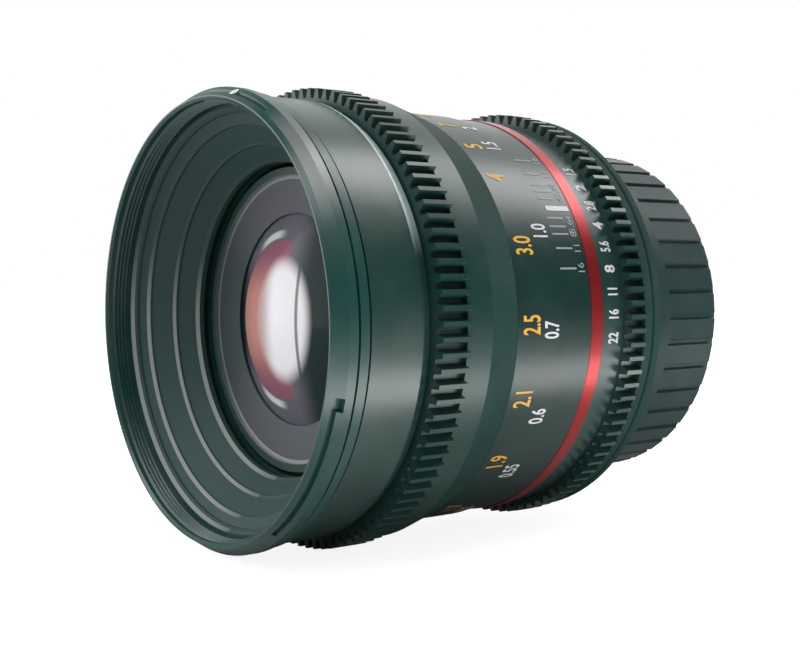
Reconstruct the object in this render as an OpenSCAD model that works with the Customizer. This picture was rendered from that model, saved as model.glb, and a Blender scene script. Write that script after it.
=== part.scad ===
// Fast manual cine lens with its rear cap on.
// +X runs from the front rim to the rear, +Z is up, and the origin is the
// centre of the mount face on the optical axis. Millimetres.
// The lens stands as it does at a middle distance and a middle stop.

/* [Overall] */
// Front rim to the mount face
body_len = 74.7; // [74.7:0.1:80]
// How far the index line is rolled from the top towards -Y
index_roll = 58.7; // [0:0.1:90]
// Facets of a round surface
round_facets = 180; // [60:12:360]
// Running clearance of every turning or sliding fit
running_gap = 0.05; // [0.02:0.01:0.08]
// Free space beside parts that never touch
free_gap = 0.3; // [0.25:0.05:0.5]
// Room for a thin washer between two rings
washer_gap = 0.4; // [0.35:0.05:0.5]

/* [Front ring] */
// Radius of the filter thread
thread_r = 38.5; // [38:0.05:39]
// Depth of the filter thread
thread_len = 4.7; // [3.5:0.1:5.5]
// Step from the thread down to the baffle's seat
seat_step = 0.8; // [0.6:0.05:1]
// Wall at the rim's front edge
rim_wall = 0.7; // [0.6:0.05:1]
// Wall at the front flange
flange_wall = 2.3; // [2:0.1:2.6]
// Length of the bevel behind the rim's edge
rim_bevel = 2.5; // [2:0.1:3]
// Length of the front flange
flange_len = 4.2; // [3.5:0.1:5]
// Width of the two grooves behind the flange
groove_w = 0.75; // [0.4:0.05:1]
// Depth of the groove beside the flange
groove_depth = 1; // [0.5:0.1:1.4]
// Width of the thin ridge between the grooves
ridge_w = 1.7; // [1:0.1:2.5]
// How far that ridge lies below the flange
ridge_drop = 0.45; // [0.2:0.05:0.8]
// Wall of the front ring's spigot
spigot_wall = 1; // [0.8:0.1:1.1]
// Length of the spigot behind the ridge
spigot_len = 4.5; // [3:0.1:6]
// Number of slots for a lens hood
hood_slots = 3; // [2:1:4]
// Width of a hood slot
hood_slot_w = 0.75; // [0.6:0.05:1]
// Depth of a hood slot under the flange, and its place behind the rim
hood_slot_depth = 1.2; // [1:0.1:1.5]
hood_slot_at = 1.3; // [1.1:0.1:1.6]
// Arc of a hood slot in degrees
hood_slot_arc = 44; // [30:1:60]
// Length of the hook at the start of a hood slot
hood_hook_len = 1.7; // [1:0.1:2]
// Arc of that hook in degrees
hood_hook_arc = 3.2; // [2:0.1:5]

/* [Front well] */
// Wall of the stepped baffle
baffle_wall = 1; // [0.8:0.1:1.2]
// Thickness of the baffle's outer flange
baffle_flange_t = 0.6; // [0.5:0.05:0.7]
// How far each step narrows the well
step_a_in = 1.9; // [1.6:0.1:2]
step_b_in = 1.9; // [1.5:0.1:2.2]
step_c_in = 3.3; // [2.8:0.1:3.6]
// Length of the wall before each step
step_a_len = 1.5; // [1.2:0.1:1.8]
step_b_len = 1.8; // [1.4:0.1:2.2]
step_c_len = 4; // [3:0.1:4.4]
// Length of the cone behind the last step
well_cone_len = 3.3; // [2.6:0.1:3.5]
// Rise of the small lip at each step
step_lip = 0.9; // [0.5:0.1:1.1]
// Space round the lens barrel's nose
nose_gap = 0.8; // [0.5:0.1:1]

/* [Smooth band] */
// Wall of the smooth band over the filter thread's radius
band_wall = 1.3; // [1.1:0.1:1.7]
// Length of the smooth band
band_len = 10.2; // [9.6:0.1:11]
// Length and height of the bevel behind the smooth band
band_bevel = 1.9; // [1.5:0.1:2.2]
band_bevel_drop = 0.8; // [0.4:0.05:1]
// Depth and width of the channel before the gear
channel_depth = 1.6; // [1.3:0.1:1.7]
channel_w = 0.4; // [0.3:0.1:0.6]
// Wall of the front barrel
front_barrel_wall = 1.5; // [1.3:0.1:1.6]
// Thickness of its inner flange
inner_flange_t = 1.8; // [1.4:0.1:2]
// Space between its bore and the baffle
front_bore_gap = 2.4; // [1.6:0.1:2.6]

/* [Inner barrel] */
// Wall of the inner barrel
inner_wall = 1.2; // [1:0.1:1.3]
// Thickness and height of its front flange
inner_flange = 2; // [1.6:0.1:2.1]
inner_flange_rise = 3.1; // [2.8:0.1:3.2]

/* [Focus ring] */
// Module of both follow gears
gear_module = 0.8; // [0.8:0.8:0.8]
// Teeth of the focus gear
focus_teeth = 103; // [102:1:104]
// Width of the focus gear
focus_gear_w = 6; // [5:0.1:6.5]
// How far the edges of a gear's own band are stepped or bevelled
gear_ease = 0.25; // [0.15:0.05:0.3]
// Length of the band behind the gear
grip_band_len = 5.1; // [4:0.1:6]
// How far that band stands over the distance scale
grip_rise = 2.1; // [1.7:0.1:2.3]
// Length of the cone behind the band
cone_len = 7.5; // [6.5:0.1:8]
// Length of the distance scale
distance_len = 10.2; // [9.8:0.1:10.4]
// Wall of the distance scale, and of the sleeve under it
distance_wall = 1.3; // [1.1:0.1:1.5]
distance_sleeve_wall = 1.35; // [1.2:0.05:1.5]
// Depth of the pocket inside the focus ring
focus_pocket = 2.15; // [1.8:0.05:2.4]
// Length of the ring's two bearing lands
focus_land = 3.2; // [2.5:0.1:4]
// Degrees from the rest pose to infinity
to_infinity = 65; // [50:1:80]
// Degrees from the rest pose to the nearest distance
to_near = 113; // [90:1:120]
// Degrees of focus ring for one millimetre of optics travel
degrees_per_mm = 25; // [24:1:27]

/* [Helicoid] */
// Wall of the helicoid sleeve
sleeve_wall = 2.9; // [2.6:0.1:3]
// Length of the helicoid sleeve
sleeve_len = 17.6; // [16:0.1:18]
// Length of the ring that keeps the sleeve in
sleeve_ring_len = 1.8; // [1.4:0.1:2]
// Radial wall of that ring
sleeve_ring_wall = 2.1; // [1.6:0.1:2.3]
// Length and width of the drive key
drive_key_len = 4; // [3:0.1:4.5]
drive_key_w = 6; // [4:0.1:7]
// How deep the drive key sits in the helicoid sleeve
key_bite = 1.4; // [1:0.1:1.6]

/* [Depth scale] */
// Length and wall of the fixed depth scale
depth_len = 7.7; // [7.3:0.1:8.1]
depth_wall = 1.45; // [1.3:0.05:1.6]
// Width of the coloured ring
red_w = 2.9; // [2.5:0.1:3.2]
// How far it stands over the depth scale
red_rise = 0.15; // [0.1:0.05:0.3]

/* [Aperture ring] */
// Wall of the stop numbers' band
stop_wall = 2.15; // [1.9:0.05:2.3]
// Teeth of the aperture gear
stop_teeth = 99; // [98:1:100]
// Length of the stop numbers' band
stop_band_len = 5.4; // [5:0.1:5.8]
// Width of the aperture gear
stop_gear_w = 4.2; // [3.8:0.1:4.6]
// Wall of the collar behind the gear, which the rear lip carries on
collar_wall = 3.9; // [3.6:0.05:4.1]
// Length of the aperture ring
stop_len = 11.6; // [11.2:0.1:11.7]
// Degrees from the rest pose to the widest stop
to_wide = 14.4; // [12.6:0.1:18]
// Degrees from the rest pose to the smallest stop
to_small = 36; // [30:0.1:38]
// Place, length and width of the fork's foot inside the ring
fork_foot_inset = 2; // [1.6:0.1:2.4]
fork_foot_len = 3; // [2.5:0.1:3.3]
fork_w = 4.4; // [3.6:0.1:5]
// Thickness of the fork's bar, and the space between it and the lens barrel
fork_bar_t = 1.6; // [1.2:0.1:1.8]
fork_gap = 0.8; // [0.6:0.1:1]
// Free length of the fork past the pin at each end of its travel
fork_margin = 1; // [0.6:0.1:1.4]
// Radius of the fork's screw
fork_screw_r = 0.8; // [0.6:0.1:1]

/* [Rear housing] */
// Wall of the hub under the aperture ring
hub_wall = 1.75; // [1.5:0.05:1.8]
// Depth scale's front edge to the hub, and to the land that carries the scale
hub_inset = 1; // [0.9:0.1:1.4]
land_inset = 3; // [2.5:0.1:4]
// Height of that land over the hub
land_rise = 1.2; // [1.1:0.05:1.4]
// Thickness of the rear plate
rear_plate_t = 2.5; // [2:0.1:2.8]
// Space between its bore and the optics' tail
rear_bore_gap = 2; // [1.6:0.1:2.4]
// How far the mount stands out of the rear lip
mount_stand = 1; // [0.8:0.1:1.2]

/* [Mount] */
// Outer radius of the mount's face
mount_r = 32.5; // [32:0.1:32.6]
// Thickness of the mount's disc
mount_t = 2.2; // [2:0.1:2.4]
// Space between its bore and the optics' tail
mount_bore_gap = 1; // [0.8:0.1:1.3]
// Wall of the bayonet tube
tube_wall = 1.7; // [1.5:0.1:1.9]
// Length of the bayonet tube
tube_len = 5; // [4.6:0.1:5.4]
// Height of the bayonet lugs over the tube
lug_rise = 1.6; // [1.4:0.1:1.8]
// Mount face to the front of the lugs
lug_front = 2.9; // [2.8:0.1:3]
// Thickness of the lugs
lug_t = 1.4; // [1.2:0.1:1.6]
// Arc of one lug in degrees
lug_arc = 50; // [44:1:54]
// Radius of a mount screw's head and shank
screw_head_r = 1.8; // [1.5:0.1:1.9]
screw_shank_r = 1; // [0.8:0.1:1.1]
// Length of a mount screw
screw_len = 3.6; // [3.2:0.1:3.8]
// Width and depth of a screw's cross slot
cross_w = 0.5; // [0.4:0.1:0.6]
cross_depth = 0.5; // [0.3:0.1:0.6]

/* [Rear cap] */
// Mount face to the cap's rear face
cap_len = 23.4; // [22:0.1:25]
// Wall of the cap's skirt
cap_skirt_wall = 1.9; // [1.7:0.1:2.2]
// Mount face to the end of the skirt
cap_skirt_end = 8.2; // [7.6:0.1:8.6]
// How far the ribs lie below the skirt
cap_rib_drop = 1.2; // [0.8:0.1:1.4]
// Depth of the grooves between the ribs
cap_groove = 0.55; // [0.3:0.05:0.7]
// Number of ribs on the cap
cap_ribs = 42; // [36:2:60]
// Wall of the cap
cap_wall = 1.8; // [1.6:0.1:2]
// Bevel on the cap's rear edge
cap_bevel = 0.5; // [0.3:0.1:0.8]
// Thickness of the cap's bayonet web
cap_web_t = 2; // [1.6:0.1:2.1]
// Space round the mount's lugs, and round its tube
cap_lug_gap = 0.6; // [0.5:0.1:0.8]
cap_tube_gap = 0.5; // [0.4:0.1:0.7]

/* [Optics] */
// Wall of the lens barrel round the iris
barrel_wall = 2.6; // [2.4:0.1:2.8]
// How far the barrel's nose is drawn in
nose_drop = 2.2; // [2:0.1:2.5]
// Length of that nose
nose_len = 7; // [6.8:0.1:7.2]
// Length of the sliding surface behind the aperture ring's front
slide_tail = 2; // [1:0.1:2.4]
// Width of the retainer's bevelled face
retainer_face = 1.5; // [1.2:0.1:1.8]
// How far its lip reaches over the front glass, and the lip's thickness
retainer_reach = 0.9; // [0.7:0.1:1.1]
retainer_lip = 0.55; // [0.4:0.05:0.6]
// Wall of the rear cell's tail
tail_wall = 5.9; // [5.4:0.1:6.2]
// Radial gap between a glass and its cell
glass_gap = 0.05; // [0.02:0.01:0.1]

/* [Iris] */
// Number of blades
blade_count = 8; // [8:1:8]
// Radius of the widest opening
wide_r = 14.5; // [14:0.1:14.6]
// Width of a blade's crescent
blade_w = 5.5; // [5.1:0.1:5.7]
// Arc of a blade's crescent in degrees
blade_arc = 104; // [96:1:108]
// Crescent's outer edge to the circle of pivots
pivot_margin = 2.6; // [2.4:0.1:2.8]
// Radius of a blade's pins
pin_r = 0.6; // [0.5:0.05:0.7]
// Thickness of a blade
blade_t = 0.12; // [0.1:0.01:0.14]
// Distance from one blade's layer to the next
layer_step = 0.2; // [0.18:0.01:0.2]
// Distance from the pivot to the drive pin
crank = 4; // [3.6:0.1:4.2]
// Share of the ring's turn that a blade makes
blade_turn_share = 0.68; // [0.6:0.01:0.7]
// Thickness of the plate that carries the pivots
iris_plate_t = 1.2; // [1:0.1:1.3]
// Wall of the iris housing's rim
iris_rim = 0.9; // [0.7:0.1:1]
// Thickness of the iris drive ring
iris_ring_t = 1.2; // [1:0.1:1.3]
// Circle of pivots to the ring's edge
iris_ring_margin = 3.5; // [3.3:0.1:3.6]
// Radius of the ring's drive pin
drive_pin_r = 0.55; // [0.4:0.05:0.58]
// Thickness of the iris cover
iris_cover_t = 0.8; // [0.6:0.1:1]

/* [Hidden] */
// Reach of a cut past the face that it opens
cut = 0.5;
$fn = round_facets;

// Depths behind the front rim, from front to rear
band_depth = flange_len + groove_w + ridge_w + groove_w;
band_end = band_depth + band_len;
focus_front = band_end + band_bevel + channel_w;
inner_front = focus_front - washer_gap - inner_flange;
grip_band_end = focus_front + focus_gear_w + grip_band_len;
cone_end = grip_band_end + cone_len;
distance_end = cone_end + distance_len;
depth_front = distance_end + free_gap;
red_front = depth_front + depth_len;
hub_front = depth_front + hub_inset;
land_front = depth_front + land_inset;
stop_front = red_front + red_w + washer_gap;
stop_gear_front = stop_front + stop_band_len;
slide_end = stop_front + slide_tail;
step_a_depth = thread_len + step_a_len;
step_b_depth = step_a_depth + step_b_len;
step_c_depth = step_b_depth + step_c_len;
baffle_depth = step_c_depth + well_cone_len;

// Radii from the iris outwards
pivot_r = wide_r + blade_w + pivot_margin;
blade_out_r = wide_r + blade_w;
iris_ring_r = pivot_r + iris_ring_margin;
rim_in_r = iris_ring_r + free_gap + running_gap;
chamber_r = rim_in_r + iris_rim + running_gap;
slide_r = chamber_r + barrel_wall;
nose_r = slide_r - nose_drop;
inner_bore_r = slide_r + sleeve_wall + 2 * running_gap;
inner_r = inner_bore_r + inner_wall;
inner_flange_r = inner_r + inner_flange_rise;
focus_bore_r = inner_r + running_gap;
focus_pocket_r = focus_bore_r + focus_pocket;
sleeve_under_r = focus_pocket_r + distance_sleeve_wall;
distance_r = sleeve_under_r + running_gap + distance_wall;
grip_band_r = distance_r + grip_rise;
hub_bore_r = inner_r + running_gap;
hub_r = hub_bore_r + hub_wall;
stop_bore_r = hub_r + running_gap;
stop_r = stop_bore_r + stop_wall;
collar_r = stop_bore_r + collar_wall;
land_r = hub_r + land_rise;
depth_r = land_r + running_gap + depth_wall;
red_r = depth_r + red_rise;

// Radii of the front, from the filter thread
rim_edge_r = thread_r + rim_wall;
flange_r = thread_r + flange_wall;
ridge_r = flange_r - ridge_drop;
band_r = thread_r + band_wall;
channel_r = band_r - channel_depth;
step_a_r = thread_r - step_a_in;
step_b_r = step_a_r - step_b_in;
step_c_r = step_b_r - step_c_in;
baffle_bore_r = nose_r + nose_gap;
front_barrel_bore_r = baffle_bore_r + front_bore_gap;

// Stations along the axis, counted from the mount face: behind the front rim,
// and behind the nose of the lens barrel
function at(depth) = depth - body_len;
function inside(depth) = at(band_end) + depth;

// Colours of the finishes
black = [0.09, 0.09, 0.1];
soft_black = [0.06, 0.06, 0.065];
steel = [0.7, 0.71, 0.73];
red = [0.72, 0.05, 0.04];
glass_tint = [0.72, 0.74, 0.82, 0.45];
brass = [0.75, 0.62, 0.33];

// A body turned about the lens axis from [radius, station] points
module turned(points) {
    rotate([0, 90, 0]) rotate_extrude() polygon(points);
}

// A plain ring from its two radii and two stations
module ring(r_in, r_out, from, to) {
    turned([[r_in, from], [r_out, from], [r_out, to], [r_in, to]]);
}

// A flat outline drawn about the axis and pushed along it
module along_axis(from, to) {
    rotate([0, 90, 0]) translate([0, 0, from]) linear_extrude(to - from) children();
}

// A pie slice about the axis, from one angle to another
module sector(radius, first, last) {
    steps = max(2, ceil((last - first) / 20));
    reach = radius / cos((last - first) / steps / 2);
    polygon(concat([[0, 0]],
        [for (i = [0:steps]) let (a = first + (last - first) * i / steps) reach * [cos(a), sin(a)]]));
}

// A slot through a round wall, along an arc
module arc_slot(r_in, r_out, from, to, first, last) {
    intersection() {
        ring(r_in, r_out, from, to);
        along_axis(from - cut, to + cut) sector(r_out + cut, first, last);
    }
}

// A pin that points away from the axis, in the direction that is up before any roll
module radial_pin(radius, r_in, r_out, station) {
    translate([station, 0, r_in]) cylinder(r = radius, h = r_out - r_in);
}

// Angles about the axis: the flat outlines are drawn with 180 degrees at the top
top = 180;

// Outline of a gear or of ribs, with straight flanks
module toothed(count, r_tip, r_root, tip_share, root_share) {
    edge_shares = [-root_share / 2, -tip_share / 2, tip_share / 2, root_share / 2];
    radii = [r_root, r_tip, r_tip, r_root];
    polygon([for (i = [0:count - 1]) for (k = [0:3])
        let (a = 360 / count * (i + edge_shares[k])) radii[k] * [cos(a), sin(a)]]);
}

// Sizes of the two follow gears, standard teeth on the named module
addendum_share = 1;
dedendum_share = 1.25;
tooth_tip_share = 0.3;
tooth_root_share = 0.66;
function tip_radius(teeth) = gear_module * (teeth / 2 + addendum_share);
function root_radius(teeth) = gear_module * (teeth / 2 - dedendum_share);
function share_between(low, high, share) = low + (high - low) * share;

// Front ring: filter thread, rim, hood slots, ridge and spigot
ridge_front = at(flange_len + groove_w);
ridge_back = ridge_front + ridge_w;
band_front = at(band_depth);
spigot_r = band_r - front_barrel_wall;
spigot_end = band_front + spigot_len;
ledge_share = 0.6;
thread_lead = (rim_edge_r - thread_r) * ledge_share;
baffle_seat_r = thread_r - seat_step;

module front_ring() {
    shoulder = at(thread_len) + baffle_flange_t;
    color(black) difference() {
        turned([
            [thread_r + thread_lead, at(0)], [rim_edge_r, at(0)],
            [flange_r, at(rim_bevel)], [flange_r, at(flange_len)],
            [flange_r - groove_depth, at(flange_len)], [flange_r - groove_depth, ridge_front],
            [ridge_r, ridge_front], [ridge_r, ridge_back],
            [spigot_r - running_gap, ridge_back], [spigot_r - running_gap, spigot_end],
            [spigot_r - spigot_wall, spigot_end], [spigot_r - spigot_wall, shoulder],
            [baffle_seat_r, shoulder], [baffle_seat_r, at(thread_len)], [thread_r, at(thread_len)],
            [thread_r, at(thread_lead)]]);
        for (i = [0:hood_slots - 1]) rotate([index_roll + i * 360 / hood_slots, 0, 0]) hood_slot();
    }
}

// One L-shaped slot, which starts with a short hook
module hood_slot() {
    first = hood_slot_offset;
    slot_mid = at(hood_slot_at);
    arc_slot(flange_r - hood_slot_depth, flange_r + cut, slot_mid - hood_slot_w / 2,
        slot_mid + hood_slot_w / 2, top + first, top + first + hood_slot_arc);
    arc_slot(flange_r - hood_slot_depth, flange_r + cut, slot_mid - hood_slot_w / 2,
        slot_mid - hood_slot_w / 2 + hood_hook_len, top + first, top + first + hood_hook_arc);
}
hood_slot_offset = 46;

// Front baffle: the stepped well in front of the glass
module front_baffle() {
    rise = step_lip / 2;
    front_line = [
        [baffle_seat_r - running_gap, at(thread_len)], [step_a_r + step_lip, at(thread_len)],
        [step_a_r, at(step_a_depth) - rise], [step_a_r, at(step_a_depth)],
        [step_b_r + rise, at(step_b_depth) - step_lip], [step_b_r, at(step_b_depth) - rise],
        [step_b_r, at(step_b_depth)],
        [step_c_r + rise, at(step_c_depth) - step_lip], [step_c_r, at(step_c_depth) - rise],
        [step_c_r, at(step_c_depth)],
        [baffle_bore_r, at(baffle_depth)]];
    back_line = [
        [baffle_bore_r, at(baffle_depth) + baffle_wall],
        [step_c_r + baffle_wall / 2, at(step_c_depth) + baffle_wall],
        [step_b_r + baffle_wall / 2, at(step_b_depth) + baffle_wall],
        [step_a_r + baffle_wall / 2, at(step_a_depth) + baffle_wall / 2],
        [step_a_r + baffle_wall / 2, at(thread_len) + baffle_flange_t - running_gap],
        [baffle_seat_r - running_gap, at(thread_len) + baffle_flange_t - running_gap]];
    color(soft_black) turned(concat(front_line, back_line));
}

// Front barrel: the smooth band, its bevel and the channel before the gear
channel_front = at(band_end) + band_bevel;
flange_seat = at(inner_front);
module front_barrel() {
    flange_front = flange_seat - inner_flange_t;
    color(black) difference() {
        turned([
            [spigot_r, band_front], [band_r, band_front], [band_r, at(band_end)],
            [band_r - band_bevel_drop, channel_front], [channel_r, channel_front],
            [channel_r, at(focus_front) - free_gap / 2],
            [inner_flange_r + running_gap, at(focus_front) - free_gap / 2],
            [inner_flange_r + running_gap, flange_seat], [front_barrel_bore_r, flange_seat],
            [front_barrel_bore_r, flange_front], [spigot_r - spigot_wall, flange_front],
            [spigot_r, spigot_end + free_gap]]);
        at_front_screws()
            screw_seat(flange_seat + inner_flange, small_head_r, small_shank_r, small_len);
    }
}

// Four small screws through the inner barrel's flange, from behind
small_head_r = 1.2;
small_shank_r = 0.7;
small_len = 3.4;
module at_front_screws() {
    for (i = [0:3]) rotate([index_roll + 45 + i * 90, 0, 0])
        translate([0, 0, inner_flange_r - small_head_r - free_gap]) children();
}

// A countersunk screw whose head is flush with a face and whose shank points forwards
module screw(face, head_r, shank_r, length) {
    head_h = head_r - shank_r;
    cross = head_r * cross_share;
    rotate([0, 90, 0]) translate([0, 0, face]) difference() {
        union() {
            translate([0, 0, -head_h]) cylinder(r1 = shank_r, r2 = head_r, h = head_h);
            translate([0, 0, -length]) cylinder(r = shank_r, h = length - head_h / 2);
        }
        for (turn = [0, 90]) rotate([0, 0, turn]) translate([-cross, -cross_w / 2, -cross_depth])
            cube([2 * cross, cross_w, cross_depth + cut]);
    }
}
cross_share = 0.6;

// The countersunk seat of such a screw, open at the face
module screw_seat(face, head_r, shank_r, depth) {
    head_h = head_r - shank_r;
    rotate([0, 90, 0]) translate([0, 0, face]) {
        translate([0, 0, -head_h])
            cylinder(r1 = shank_r + running_gap, r2 = head_r + running_gap, h = head_h);
        cylinder(r = head_r + running_gap, h = cut);
        translate([0, 0, -depth - running_gap]) cylinder(r = shank_r + running_gap, h = depth);
    }
}

module front_screws() {
    color(steel) at_front_screws()
        screw(flange_seat + inner_flange, small_head_r, small_shank_r, small_len);
}

// Inner barrel: the fixed tube that everything is built on
slot_margin = free_gap / inner_r * 180 / PI;
key_half_arc = asin(drive_key_w / 2 / inner_bore_r) + 2 * slot_margin;
module inner_barrel() {
    color(black) difference() {
        turned([
            [baffle_bore_r, flange_seat], [inner_flange_r, flange_seat],
            [inner_flange_r, flange_seat + inner_flange], [inner_r, flange_seat + inner_flange],
            [inner_r, at(stop_front)], [inner_bore_r, at(stop_front)],
            [inner_bore_r, flange_seat + inner_flange], [baffle_bore_r, flange_seat + inner_flange]]);
        at_front_screws() screw_seat(flange_seat + inner_flange, small_head_r, small_shank_r, small_len);
        rotate([index_roll + key_roll, 0, 0])
            arc_slot(inner_bore_r - cut, inner_r + cut, at(grip_band_end) - free_gap,
                at(grip_band_end) + drive_key_len + free_gap,
                top - to_near - key_half_arc, top + to_infinity + key_half_arc);
    }
}
key_roll = 150;

module focus_washer() {
    from = flange_seat + inner_flange;
    color(brass) ring(inner_r + free_gap, inner_flange_r - free_gap, from, at(focus_front) - running_gap);
}

// Focus ring: gear, smooth band, cone and the sleeve under the distance scale
focus_back = at(distance_end) - free_gap;
module focus_ring() {
    gear_back = at(focus_front) + focus_gear_w;
    core_r = root_radius(focus_teeth) - gear_ease;
    color(black) difference() {
        union() {
            turned([
                [focus_bore_r, at(focus_front)], [core_r, at(focus_front)],
                [core_r, gear_back - gear_ease], [grip_band_r, gear_back - gear_ease],
                [grip_band_r, at(grip_band_end)], [distance_r, at(cone_end)],
                [sleeve_under_r, at(cone_end)], [sleeve_under_r, focus_back],
                [focus_bore_r, focus_back], [focus_bore_r, focus_back - focus_land],
                [focus_pocket_r, focus_back - focus_land], [focus_pocket_r, at(focus_front) + focus_land],
                [focus_bore_r, at(focus_front) + focus_land]]);
            along_axis(at(focus_front), gear_back) difference() {
                toothed(focus_teeth, tip_radius(focus_teeth), root_radius(focus_teeth),
                    tooth_tip_share, tooth_root_share);
                circle(r = core_r - gear_ease);
            }
        }
        rotate([index_roll + key_roll, 0, 0]) key_block(running_gap);
    }
}

// The key that carries the focus ring's turn to the helicoid sleeve
key_top_r = focus_pocket_r + distance_wall / 2;
key_base_r = inner_bore_r - key_bite;
module key_block(extra) {
    translate([at(grip_band_end) - extra, -drive_key_w / 2 - extra, key_base_r - extra])
        cube([drive_key_len + 2 * extra, drive_key_w + 2 * extra, key_top_r - key_base_r + 2 * extra]);
}

module drive_key() {
    color(steel) rotate([index_roll + key_roll, 0, 0]) key_block(0);
}

module distance_scale() {
    color(black) ring(distance_r - distance_wall, distance_r, at(cone_end) + running_gap, at(distance_end));
}

// Helicoid sleeve: turns inside the inner barrel and moves the optics
sleeve_front = flange_seat + inner_flange + free_gap;
sleeve_back = sleeve_front + sleeve_len;
sleeve_out_r = inner_bore_r - running_gap;
module helicoid_sleeve() {
    color(brass) difference() {
        ring(slide_r + running_gap, sleeve_out_r, sleeve_front, sleeve_back);
        rotate([index_roll + key_roll, 0, 0]) key_block(running_gap);
    }
}

module sleeve_ring() {
    from = sleeve_back + free_gap;
    color(black) ring(inner_bore_r - running_gap - sleeve_ring_wall, inner_bore_r - running_gap,
        from, from + sleeve_ring_len);
}

module focus_retainer() {
    from = at(distance_end);
    color(black) ring(inner_r + running_gap, focus_pocket_r, from, at(hub_front) - free_gap);
}

// Guide keys: they keep the lens barrel from turning
guide_w = 4;
guide_len = 6.5;
guide_depth = 1.6;
module at_guides() {
    for (turn = [90, 270]) rotate([index_roll + turn, 0, 0]) children();
}
module guide_keys() {
    color(steel) intersection() {
        at_guides() translate([at(hub_front), -guide_w / 2, slide_r - guide_depth + running_gap])
            cube([guide_len, guide_w, inner_bore_r - slide_r + guide_depth]);
        ring(0, inner_bore_r - running_gap, at(hub_front) - cut, at(hub_front) + guide_len + cut);
    }
}

// Depth scale, coloured ring and the washer behind it
red_back = at(red_front) + red_w;
module depth_scale() {
    color(black) ring(depth_r - depth_wall, depth_r, at(depth_front), at(red_front) - running_gap);
}
module red_ring() {
    round_over = red_r - depth_r;
    color(red) turned([
        [land_r + running_gap, at(red_front)], [depth_r, at(red_front)],
        [red_r, at(red_front) + round_over], [red_r, red_back - round_over],
        [depth_r, red_back], [land_r + running_gap, red_back]]);
}
module stop_washer() {
    color(brass) ring(stop_bore_r, land_r - free_gap, red_back + running_gap, at(stop_front) - running_gap);
}

// Radii at the rear, from the optics' tail outwards
cell_9_r = 16.6;
tail_r = cell_9_r + tail_wall;
rear_bore_r = tail_r + rear_bore_gap;
mount_bore_r = tail_r + mount_bore_gap;
tube_r = mount_bore_r + tube_wall;
lug_r = tube_r + lug_rise;
mount_screw_pcr = lug_r + screw_head_r;

// Rear housing: carries the aperture ring and the mount
lip_front = at(stop_front) + stop_len + free_gap;
plate_back = -mount_t;
plate_front = plate_back - rear_plate_t;
fork_half_arc = asin(fork_w / 2 / hub_bore_r) + 2 * slot_margin;
module rear_housing() {
    color(black) difference() {
        turned([
            [hub_bore_r, at(hub_front)], [hub_r, at(hub_front)], [hub_r, at(land_front)],
            [land_r, at(land_front)], [land_r, red_back], [hub_r, red_back],
            [hub_r, lip_front], [collar_r - gear_ease, lip_front], [collar_r, lip_front + gear_ease],
            [collar_r, -mount_stand - gear_ease], [collar_r - gear_ease, -mount_stand],
            [mount_r + running_gap, -mount_stand], [mount_r + running_gap, plate_back],
            [rear_bore_r, plate_back], [rear_bore_r, plate_front], [hub_bore_r, plate_front]]);
        rotate([index_roll + fork_roll, 0, 0])
            arc_slot(hub_bore_r - cut, hub_r + cut, fork_foot_front - free_gap,
                fork_foot_front + fork_foot_len + free_gap,
                top - to_small - fork_half_arc, top + to_wide + fork_half_arc);
        at_mount_screws() screw_seat(0, screw_head_r, screw_shank_r, screw_len);
    }
}
fork_roll = 0;
fork_foot_front = at(stop_front + fork_foot_inset);
fork_screw_station = fork_foot_front + fork_foot_len / 2;

module at_mount_screws() {
    for (i = [0:3]) rotate([index_roll + 45 + i * 90, 0, 0]) translate([0, 0, mount_screw_pcr]) children();
}

// Mount: disc, tube and three bayonet lugs
lug_turn = 360 / 3;
module mount_ring() {
    color(steel) difference() {
        union() {
            turned([
                [mount_bore_r, plate_back], [mount_r, plate_back], [mount_r, 0],
                [tube_r, 0], [tube_r, tube_len], [mount_bore_r, tube_len]]);
            for (i = [0:2]) rotate([index_roll + i * lug_turn, 0, 0])
                arc_slot(tube_r - running_gap, lug_r, lug_front, lug_front + lug_t,
                    top - lug_arc / 2, top + lug_arc / 2);
        }
        at_mount_screws() screw_seat(0, screw_head_r, screw_shank_r, screw_len);
    }
}
module mount_screws() {
    color(steel) at_mount_screws() screw(0, screw_head_r, screw_shank_r, screw_len);
}
module rear_light_trap() {
    trap_r = tail_r * trap_share;
    color(soft_black) turned([
        [trap_r, tube_len / 2], [mount_bore_r - running_gap, tube_len / 2],
        [mount_bore_r - running_gap, tube_len], [mount_bore_r - 2 * free_gap, tube_len],
        [mount_bore_r - 2 * free_gap, tube_len / 2 + lug_t / 2], [trap_r, tube_len / 2 + lug_t / 2]]);
}
trap_share = 0.75;

// Aperture ring: number band and gear
module aperture_ring() {
    gear_from = at(stop_gear_front);
    gear_to = gear_from + stop_gear_w;
    back = at(stop_front) + stop_len;
    core_r = root_radius(stop_teeth) - gear_ease;
    color(black) difference() {
        union() {
            turned([
                [stop_bore_r, at(stop_front)], [stop_r - gear_ease, at(stop_front)],
                [stop_r, at(stop_front) + gear_ease], [stop_r, gear_from + gear_ease],
                [core_r, gear_from + gear_ease], [core_r, gear_to - gear_ease],
                [collar_r, gear_to - gear_ease], [collar_r, back - gear_ease],
                [collar_r - gear_ease, back], [stop_bore_r, back]]);
            along_axis(gear_from, gear_to) difference() {
                toothed(stop_teeth, tip_radius(stop_teeth), root_radius(stop_teeth),
                    tooth_tip_share, tooth_root_share);
                circle(r = core_r - gear_ease);
            }
        }
        rotate([index_roll + fork_roll, 0, 0]) radial_pin(fork_screw_r + running_gap, stop_bore_r - cut,
            stop_bore_r + fork_grip, fork_screw_station);
    }
}

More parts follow.
